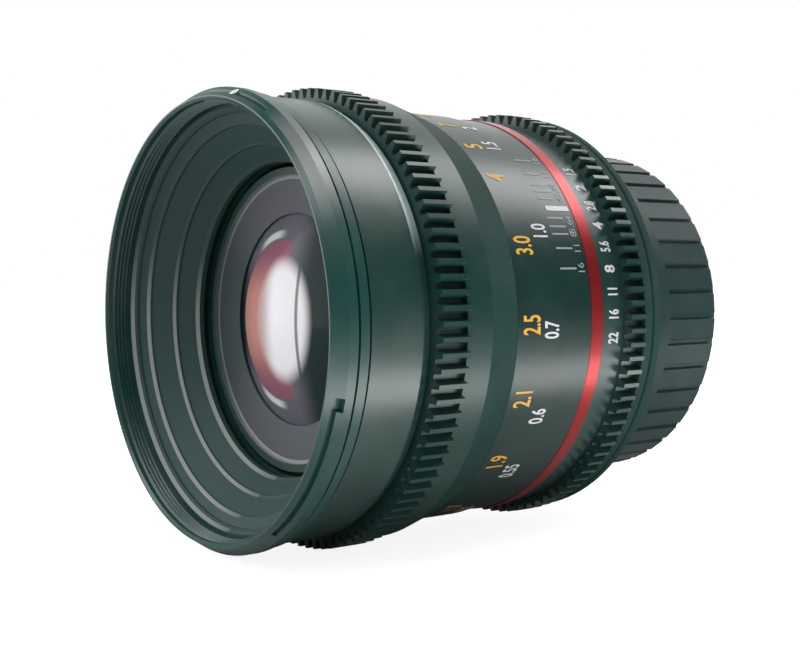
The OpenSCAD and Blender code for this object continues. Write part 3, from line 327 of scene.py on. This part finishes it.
# The first glass carries a painted reflection: a pale window inside a coloured fringe, and painted dark beyond
# it. The picture is drawn by its place on the glass: across (y) and high (z) from the optical axis, in mm.
frontGlassFinish = {
    # the painted window is an ellipse, with painted shade on the side away from the camera and a dark seam down
    # it
    "pane": (0.80, 0.79, 0.82), "paneSide": (0.50, 0.38, 0.39), "paneDulls": (1.5, 7), "paneAt": -0.2,
    "paneAcross": 8.3, "paneHigh": 10.6, "paneFades": (1.35, 0.65), "seam": (-5.6, -5.1), "seamFades": 0.3,
    "seamDarkness": 0.75,
    # the painted fringe fills a disc behind it, warm at the sides and cool at the top and bottom
    "warm": (0.50, 0.24, 0.20), "cool": (0.26, 0.10, 0.14), "coolFrom": (3, 13), "discAt": 1.6, "disc": 14.6,
    "discFades": 0.4, "fringeFrom": (-2.4, -1.4),
    # beyond the disc the glass is painted dark, a little paler at the top and bottom, with a painted glint
    # along the disc
    "rimSide": (0.014, 0.028, 0.028), "rimTop": (0.13, 0.128, 0.155), "rimPales": (-9, -2),
    "paintedGlint": (0.62, 0.66, 0.66), "glintOut": (0.8, 1.6), "glintFades": 0.6, "glintAcross": (4.5, 7.5),
    "glintFadesAcross": 4, "glintUpper": (-1, 1), "glintUpperLoss": 0.1,
    "film": (45, 2), "cover": 0.93, "coverVaries": 0.1, "coatingRoughness": 0.22, "coatingVaries": 0.05,
    "coatingLevel": 0.06, "glassRoughness": 0.02, "glassVaries": 0.02, "glassLevel": 0.1, "bending": 1.55,
}


def frontGlass(name):
    v = frontGlassFinish
    f = finishNamed(name)
    place = f.place()
    _, y, z, _, _ = f.around(place)
    film = f.noise(place, *v["film"])
    across, high = y / mm, z / mm

    steep = f.ramp(f.math("ABSOLUTE", high), *v["coolFrom"])
    rim = f.blend(steep * f.ramp(across, *v["rimPales"]), v["rimSide"], v["rimTop"])
    fromDisc = ((across - v["discAt"]) ** 2 + high ** 2) ** 0.5
    inDisc = f.ramp(fromDisc, v["disc"] + v["discFades"], v["disc"] - v["discFades"]) \
        * f.ramp(across, *v["fringeFrom"])
    colour = f.blend(inDisc, rim, f.blend(steep, v["warm"], v["cool"]))

    fromPane = ((across - v["paneAt"]) / v["paneAcross"]) ** 2 + (high / v["paneHigh"]) ** 2
    seam = f.band(across, *v["seam"], v["seamFades"])
    paintedPane = f.ramp(fromPane, *v["paneFades"]) * (1 - seam * v["seamDarkness"])
    colour = f.blend(paintedPane, colour, f.blend(f.ramp(across, *v["paneDulls"]), v["pane"], v["paneSide"]))

    inner, outer = [v["disc"] + out for out in v["glintOut"]]
    paintedGlint = f.band(fromDisc, inner, outer, v["glintFades"]) \
        * f.band(across, *v["glintAcross"], v["glintFadesAcross"]) \
        * (1 - f.ramp(high, *v["glintUpper"]) * v["glintUpperLoss"])
    colour = f.blend(paintedGlint, colour, v["paintedGlint"])

    # the coating layer carries the painted reflection, and the glass shows through it a little
    coating = f.shader(Base_Color=colour, Roughness=v["coatingRoughness"] + film * v["coatingVaries"],
                       Specular_IOR_Level=v["coatingLevel"])
    glass = f.shader(Base_Color=colour, Roughness=v["glassRoughness"] + film * v["glassVaries"],
                     Transmission_Weight=1.0, IOR=v["bending"], Specular_IOR_Level=v["glassLevel"])
    f.end(f.mixed(v["cover"] + (film - 0.5) * v["coverVaries"], glass, coating))
    return f.owner


# The glasses behind it, with a faint violet coating
innerGlassFinish = {
    "colour": (0.72, 0.62, 0.80), "rim": (0.62, 0.48, 0.70), "rimFrom": (10, 20), "film": (45, 2),
    "coating": 0.03, "coatingVaries": 0.03, "roughness": 0.02, "rimRoughness": 0.02, "bending": 1.5,
}


def innerGlass(name):
    v = innerGlassFinish
    f = finishNamed(name)
    place = f.place()
    _, _, _, radius, _ = f.around(place)
    edge = f.ramp(radius, *[r * mm for r in v["rimFrom"]])
    film = f.noise(place, *v["film"])
    f.surface(Base_Color=f.blend(edge, v["colour"], v["rim"]),
              Metallic=v["coating"] + film * v["coatingVaries"],
              Roughness=v["roughness"] + edge * v["rimRoughness"], Transmission_Weight=1.0, IOR=v["bending"])
    return f.owner


# The ring round the front glass: a painted highlight spreads along its turning marks in a fan above and below
# the glass, brighter above and away from the camera. A painted highlight line runs before its dark shoulder.
retainerFinish = {
    "side": (0.013, 0.029, 0.032), "fanHighlight": (0.070, 0.072, 0.092), "line": (0.24, 0.25, 0.25),
    "shoulder": (0.012, 0.040, 0.035), "lineFrom": 25.7, "lineTo": 26.3, "lineFades": 0.1,
    "lineFaintest": 0.4, "lineFan": 0.4, "fanFrom": (0.35, 0.95), "fanFaintest": 0.55, "fanStreaks": 0.6,
    "upper": (-5, 5), "upperGain": 0.35, "lowerPart": 0.65, "away": (-12, -4), "awayGain": 0.7, "nearPart": 0.3,
    "ringsPerMetre": 1500, "ringsRound": 0.8, "ringHeight": 0.03, "roughness": 0.42, "ringRoughness": 0.1,
    "level": 0.35,
}


def retainerBlack(name):
    v = retainerFinish
    f = finishNamed(name)
    _, y, z, radius, angle = f.around(f.place())
    rings = f.turnings(radius, 0, angle, v)
    # painted highlight: a fan above and below the glass, brighter above and away from the camera
    fanHighlight = f.ramp(f.math("ABSOLUTE", z / radius), *v["fanFrom"])
    upper = f.ramp(z, *[side * mm for side in v["upper"]]) * v["upperGain"] + v["lowerPart"]
    away = f.ramp(y, *[side * mm for side in v["away"]]) * v["awayGain"] + v["nearPart"]
    streaks = v["fanFaintest"] + rings * v["fanStreaks"]
    colour = f.blend(fanHighlight * streaks * (upper * away), v["side"], v["fanHighlight"])
    shoulder = f.ramp(radius, (v["lineTo"] - v["lineFades"]) * mm, v["lineTo"] * mm)
    colour = f.blend(shoulder, colour, v["shoulder"])
    # painted highlight line on the inner edge, brightest within the fan
    line = f.band(radius, v["lineFrom"] * mm, v["lineTo"] * mm, v["lineFades"] * mm)
    colour = f.blend(line * (v["lineFaintest"] + fanHighlight * v["lineFan"]), colour, v["line"])
    f.surface(Base_Color=colour, Roughness=v["roughness"] + (rings - 0.5) * v["ringRoughness"],
              Specular_IOR_Level=v["level"], Normal=f.bump(rings * v["ringHeight"]))
    return f.owner


makers = {
    turnedBlack: blackKinds, flatBlack: ["flatBlack"], turnedMetal: metalFinishes, redEnamel: ["redEnamel"],
    mouldedPlastic: ["capPlastic"], figurePaint: paintFinishes, frontGlass: ["frontGlass"],
    innerGlass: ["innerGlass"], retainerBlack: ["retainerBlack"],
}
finishes = {name: make(name) for make, names in makers.items() for name in names}

finishOf = {
    "front_ring": "rimBlack", "front_barrel": "barrelBlack", "front_baffle": "flatBlack",
    "front_screws": "machinedSteel", "inner_barrel": "satinBlack", "focus_washer": "turnedBrass",
    "sleeve_ring": "satinBlack", "focus_retainer": "satinBlack", "guide_keys": "machinedSteel",
    "depth_scale": "scaleBlack", "red_ring": "redEnamel", "stop_washer": "blackenedSteel",
    "rear_housing": "stopBlack", "mount_ring": "satinChrome", "mount_screws": "machinedSteel",
    "rear_light_trap": "flatBlack", "focus_ring": "focusBlack", "distance_scale": "scaleBlack",
    "helicoid_sleeve": "turnedBrass", "drive_key": "machinedSteel", "lens_barrel": "satinBlack",
    "rear_cell": "flatBlack", "front_retainer": "retainerBlack", "rear_retainer": "flatBlack",
    "front_spacer": "flatBlack", "rear_spacers": "flatBlack", "iris_housing": "flatBlack",
    "iris_cover": "flatBlack", "iris_drive_ring": "machinedSteel", "aperture_ring": "stopBlack",
    "aperture_fork": "machinedSteel", "fork_screw": "machinedSteel", "rear_cap": "capPlastic",
    "glass_1": "frontGlass",
}
for name, node in nodes.items():
    kind = finishOf.get(name) or ("blackenedSteel" if name.startswith("iris_blade") else "innerGlass")
    node.data.materials.clear()
    node.data.materials.append(finishes[kind])
print("finishes made:", len(finishes))


def pieceFrom(name, bm, finish, body):
    mesh = bpy.data.meshes.new(name)
    bm.to_mesh(mesh)
    bm.free()
    mesh.materials.append(finishes[finish])
    piece = placed(name, mesh)
    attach(piece, body)
    return piece


# Ridges of the filter thread, wound inside the front ring: depths and radii in mm
threadRidges = {"from": 0.7, "to": 4.5, "pitch": 0.75, "root": 38.53, "crest": 38.08, "stepsPerTurn": 120}


def makeThreadRidges():
    v = threadRidges
    bm = bmesh.new()
    turns = (v["to"] - v["from"] - v["pitch"]) / v["pitch"]
    start = station(v["from"])
    corners = [(0, v["root"]), (v["pitch"] / 2, v["crest"]), (v["pitch"], v["root"])]
    row = [bm.verts.new((start + dx * mm, 0, r * mm)) for dx, r in corners]
    edges = [bm.edges.new((row[n], row[n + 1])) for n in range(2)]
    steps = round(v["stepsPerTurn"] * turns)
    step = turns * v["pitch"] * mm / steps
    bmesh.ops.spin(bm, geom=row + edges, cent=(0, 0, 0), axis=(1, 0, 0), dvec=(step, 0, 0),
                   angle=math.tau * turns, steps=steps, use_merge=False)
    bmesh.ops.remove_doubles(bm, verts=bm.verts, dist=0.001 * mm)
    bmesh.ops.recalc_face_normals(bm, faces=bm.faces)
    first = min(bm.faces, key=lambda face: face.calc_center_median().x)
    centre = first.calc_center_median()
    if first.normal.dot(Vector((0, centre.y, centre.z))) > 0:  # they face the axis
        bmesh.ops.reverse_faces(bm, faces=bm.faces)
    pieceFrom("filter_thread_ridges", bm, "rimBlack", "barrel")


makeThreadRidges()
print("thread wound")

figureHeight = 0.73  # of a figure, for a font size of 1
infinitySqueeze = 0.9  # its mark is wide and thin by nature
boldness = 0.1  # how far the other large figures' outlines grow, in mm
markStrips = 12  # a mark is cut into this many, so that it follows the curve


def flatText(words, height, squeezes=(1.0,), weight=0.0):
    # a line of figures, centred, as a bmesh: squeezed in width by its length and thickened
    squeeze = squeezes[min(len(words), len(squeezes)) - 1]
    if words == "∞":
        squeeze, weight = infinitySqueeze, 0.0
    curve = bpy.data.curves.new("figures", "FONT")
    curve.body, curve.size = words, height / figureHeight
    curve.align_x, curve.align_y = "CENTER", "CENTER"
    curve.resolution_u, curve.offset = 3, weight
    holder = placed("figures", curve)
    bpy.context.view_layer.update()
    mesh = bpy.data.meshes.new_from_object(holder.evaluated_get(bpy.context.evaluated_depsgraph_get()))
    bm = bmesh.new()
    bm.from_mesh(mesh)
    bmesh.ops.scale(bm, vec=(squeeze, 1, 1), verts=bm.verts)
    bpy.data.objects.remove(holder)
    bpy.data.curves.remove(curve)
    bpy.data.meshes.remove(mesh)
    return bm


def flatBar(length, width):
    bm = bmesh.new()
    bmesh.ops.create_grid(bm, x_segments=1, y_segments=1, size=0.5)
    bmesh.ops.scale(bm, vec=(width, length, 1), verts=bm.verts)
    return bm


def flatDot(across):
    bm = bmesh.new()
    bmesh.ops.create_circle(bm, cap_ends=True, segments=24, radius=across / 2)
    return bm


def lay(bm, radius, x, angle, slope=0.0, lift=0.05):
    # wraps a flat mark, drawn in mm, round the lens: its width goes round, its top faces the front,
    # and on a cone the radius grows with the depth by the slope
    sides = [v.co.x for v in bm.verts]
    for number in range(1, markStrips):
        cutAt = min(sides) + (max(sides) - min(sides)) * number / markStrips
        geometry = bm.verts[:] + bm.edges[:] + bm.faces[:]
        bmesh.ops.bisect_plane(bm, geom=geometry, plane_co=(cutAt, 0, 0), plane_no=(1, 0, 0))
    for vert in bm.verts:
        turn = angle - math.degrees(vert.co.x / radius)
        vert.co = onRing(x - vert.co.y * mm, (radius + lift - vert.co.y * slope) * mm, turn)
    bmesh.ops.recalc_face_normals(bm, faces=bm.faces)
    for face in bm.faces:
        centre = face.calc_center_median()
        if face.normal.dot(Vector((0, centre.y, centre.z))) < 0:
            face.normal_flip()
    return bm


def gather(marks):
    # one mesh of many marks
    whole = bmesh.new()
    for bm in marks:
        part = bpy.data.meshes.new("mark")
        bm.to_mesh(part)
        bm.free()
        whole.from_mesh(part)
        bpy.data.meshes.remove(part)
    return whole


# Distance scale: figures with their degrees from the top towards the camera, and for each row of
# them its piece, depth, height and paint
distanceMarks = {
    "radius": 39.1, "squeezes": (0.66, 0.6, 0.54, 0.46),
    "feet": [("∞", -6.4), ("30", 0.6), ("15", 7.6), ("10", 14.6), ("7", 24.8), ("5", 37.1), ("4", 49.6),
             ("3.0", 70.0), ("2.5", 90.2), ("2.1", 109.2), ("1.9", 129.3), ("1.7", 152.6), ("1.5", 167.6)],
    "metres": [("∞", -6.4), ("9", 4.0), ("3", 15.0), ("2", 26.0), ("1.5", 36.3), ("1.0", 66.1), ("0.7", 91.7),
               ("0.6", 114.9), ("0.55", 133.6), ("0.5", 155.6), ("0.45", 169.6)],
    "rows": {"feet": ("feet_figures", 42.0, 4.0, "orangePaint"),
             "metres": ("metre_figures", 46.7, 3.4, "whitePaint")},
}


def makeDistanceMarks():
    v = distanceMarks
    for row, (name, at, height, finish) in v["rows"].items():
        marks = [lay(flatText(words, height, v["squeezes"], boldness), v["radius"], station(at), angle)
                 for words, angle in v[row]]
        pieceFrom(name, gather(marks), finish, "focus_ring")


# Depth scale: the index and the lines, by front, back and width, and the stops with their degrees
# on both sides of the index
depthMarks = {
    "radius": 38.7, "index": (50.6, 56.2, 1.0), "lines": (49.9, 53.9, 0.34), "figuresAt": 55.2, "height": 1.6,
    "stops": [("4", 3.0), ("5.6", 5.5), ("8", 7.7), ("11", 11.7), ("16", 17.2)],
}


def makeDepthMarks():
    v = depthMarks
    front, back, width = v["index"]
    index = lay(flatBar(back - front, width), v["radius"], station((front + back) / 2), indexAngle)
    pieceFrom("depth_index", index, "whitePaint", "barrel")
    marks = []
    front, back, width = v["lines"]
    for words, away in v["stops"]:
        for angle in (indexAngle - away, indexAngle + away):
            marks.append(lay(flatBar(back - front, width), v["radius"], station((front + back) / 2), angle))
            marks.append(lay(flatText(words, v["height"]), v["radius"], station(v["figuresAt"]), angle))
    pieceFrom("depth_marks", gather(marks), "greyPaint", "barrel")


# Aperture ring: stops from wide open, a step apart
stopMarks = {
    "radius": 38.2, "at": 63.0, "height": 2.5, "squeezes": (0.85, 0.6, 0.5), "first": -14.4, "step": 6.3,
    "stops": ["1.5", "2", "2.8", "4", "5.6", "8", "11", "16", "22"],
}


def makeStopMarks():
    v = stopMarks
    marks = [lay(flatText(words, v["height"], v["squeezes"], boldness), v["radius"], station(v["at"]),
                 indexAngle + v["first"] + v["step"] * number) for number, words in enumerate(v["stops"])]
    pieceFrom("stop_figures", gather(marks), "whitePaint", "aperture_ring")


# White dot on the flange, for lining up the hood
rimDot = {"radius": 40.1, "slope": 0.64, "at": 1.4, "angle": 13.0, "across": 1.5}


def makeRimDot():
    v = rimDot
    dot = lay(flatDot(v["across"]), v["radius"], station(v["at"]), v["angle"], v["slope"])
    pieceFrom("rim_dot", dot, "whitePaint", "barrel")


makeDistanceMarks()
makeDepthMarks()
makeStopMarks()
makeRimDot()
print("marks laid")

# Studio: a pale floor that glows for the camera only, in a room that the camera sees white. The room
# lights evenly, and in gloss it is bright ahead of the camera and behind the lens, else dark teal.
studio = {
    "floorColour": 0.55, "floorGlow": 0.88, "floorAcross": 6.0,
    "light": 0.45, "gloss": 0.5, "glossDark": 0.03, "insideGlass": 0.1, "dusk": (0.35, 1.0, 0.88),
    "aheadFrom": (0.0, 0.45), "rearwardFrom": (-0.35, 0.2),
}
cameraSetting = {
    "at": (-0.18586, -0.20027, 0.00986), "looks": (0.61054, 0.79021, -0.0530), "focal": 58.5, "sensor": 36,
}
lamps = {  # place, width, height, radiance
    "topSoftbox": ((0.36, -0.11, 0.46), 0.22, 0.42, 6.0),
    "frontSoftbox": ((-0.42, 0.34, 0.02), 0.55, 0.55, 2.6),
    "rearFill": ((0.45, 0.35, 0.40), 0.5, 0.5, 0.7),
    "bevelCard": ((0.74, 0.30, 0.22), 0.60, 0.3, 3.5),
    "wellLight": ((-0.34, 0.12, 0.36), 0.25, 0.25, 4.0),
    "rimCard": ((-0.22, -0.20, 0.43), 0.25, 0.25, 4.0),
}
lampAim = Vector((-0.03, 0, 0))
white = (1, 1, 1)
# a bright patch on the table beside the lens: x and y sides, height over the floor and radiance
tableLamp = {"x": (-0.14, 0.12), "y": (-0.112, -0.070), "over": 1 * mm, "radiance": 4.8}


def facing(direction):
    return direction.to_track_quat("-Z", "Y").to_euler()


def makeFloor():
    v = studio
    bm = bmesh.new()
    bmesh.ops.create_grid(bm, x_segments=1, y_segments=1, size=v["floorAcross"] / 2)
    bmesh.ops.translate(bm, vec=(0, 0, cadLow[2]), verts=bm.verts)
    mesh = bpy.data.meshes.new("studio_floor")
    bm.to_mesh(mesh)
    bm.free()
    floor = placed("studio_floor", mesh)
    f = finishNamed("paleFloor")
    diffuse = f.node("BsdfDiffuse", {"Color": (v["floorColour"],) * 3 + (1,)})
    seen = f.node("LightPath", output="Is Camera Ray")
    glow = f.node("Emission", {"Color": (*white, 1), "Strength": seen * v["floorGlow"]})
    f.end(f.node("AddShader", {0: diffuse, 1: glow}))
    mesh.materials.append(f.owner)


def makeWorld():
    v = studio
    world = bpy.data.worlds.new("studio")
    bpy.context.scene.world = world
    f = Finish(world)
    direction = f.node("TexCoord", output="Generated")
    ahead = f.node("VectorMath", {0: direction, 1: cameraSetting["looks"]}, "Value", operation="DOT_PRODUCT")
    x = f.node("SeparateXYZ", {0: direction})
    camera, glossy, through = [f.node("LightPath", output=kind) for kind in
                               ("Is Camera Ray", "Is Glossy Ray", "Is Transmission Ray")]
    bright = f.ramp(ahead, *v["aheadFrom"]) * f.ramp(x, *v["rearwardFrom"])
    gloss = v["glossDark"] + bright * (v["gloss"] - v["glossDark"])
    other = glossy * gloss + (1 - glossy) * v["light"]
    other = through * v["insideGlass"] + (1 - through) * other
    tint = f.blend(glossy * (1 - bright), white, v["dusk"])
    background = f.node("Background", {"Color": tint, "Strength": camera + (1 - camera) * other})
    f.node("OutputWorld", {"Surface": background})


def makeLamp(name, place, width, height, radiance, direction):
    light = bpy.data.lights.new(name, "AREA")
    light.shape, light.size, light.size_y = "RECTANGLE", width, height
    light.energy = radiance * math.pi * width * height
    lamp = placed(name, light)
    lamp.location, lamp.rotation_euler = place, direction
    lamp.visible_camera = False


def makeLamps():
    for name, (place, width, height, radiance) in lamps.items():
        makeLamp(name, place, width, height, radiance, facing(lampAim - Vector(place)))
    v = tableLamp
    (left, right), (near, far) = v["x"], v["y"]
    middle = ((left + right) / 2, (near + far) / 2, cadLow[2] + v["over"])
    makeLamp("tableLamp", middle, right - left, far - near, v["radiance"], (math.pi, 0, 0))  # it shines up


def makeCamera():
    v = cameraSetting
    data = bpy.data.cameras.new("camera")
    data.lens, data.sensor_width = v["focal"], v["sensor"]
    camera = placed("camera", data)
    camera.location, camera.rotation_euler = v["at"], facing(Vector(v["looks"]))
    bpy.context.scene.camera = camera


makeFloor()
makeWorld()
makeLamps()
makeCamera()
bpy.context.scene.view_settings.view_transform = "Standard"
print("studio set")
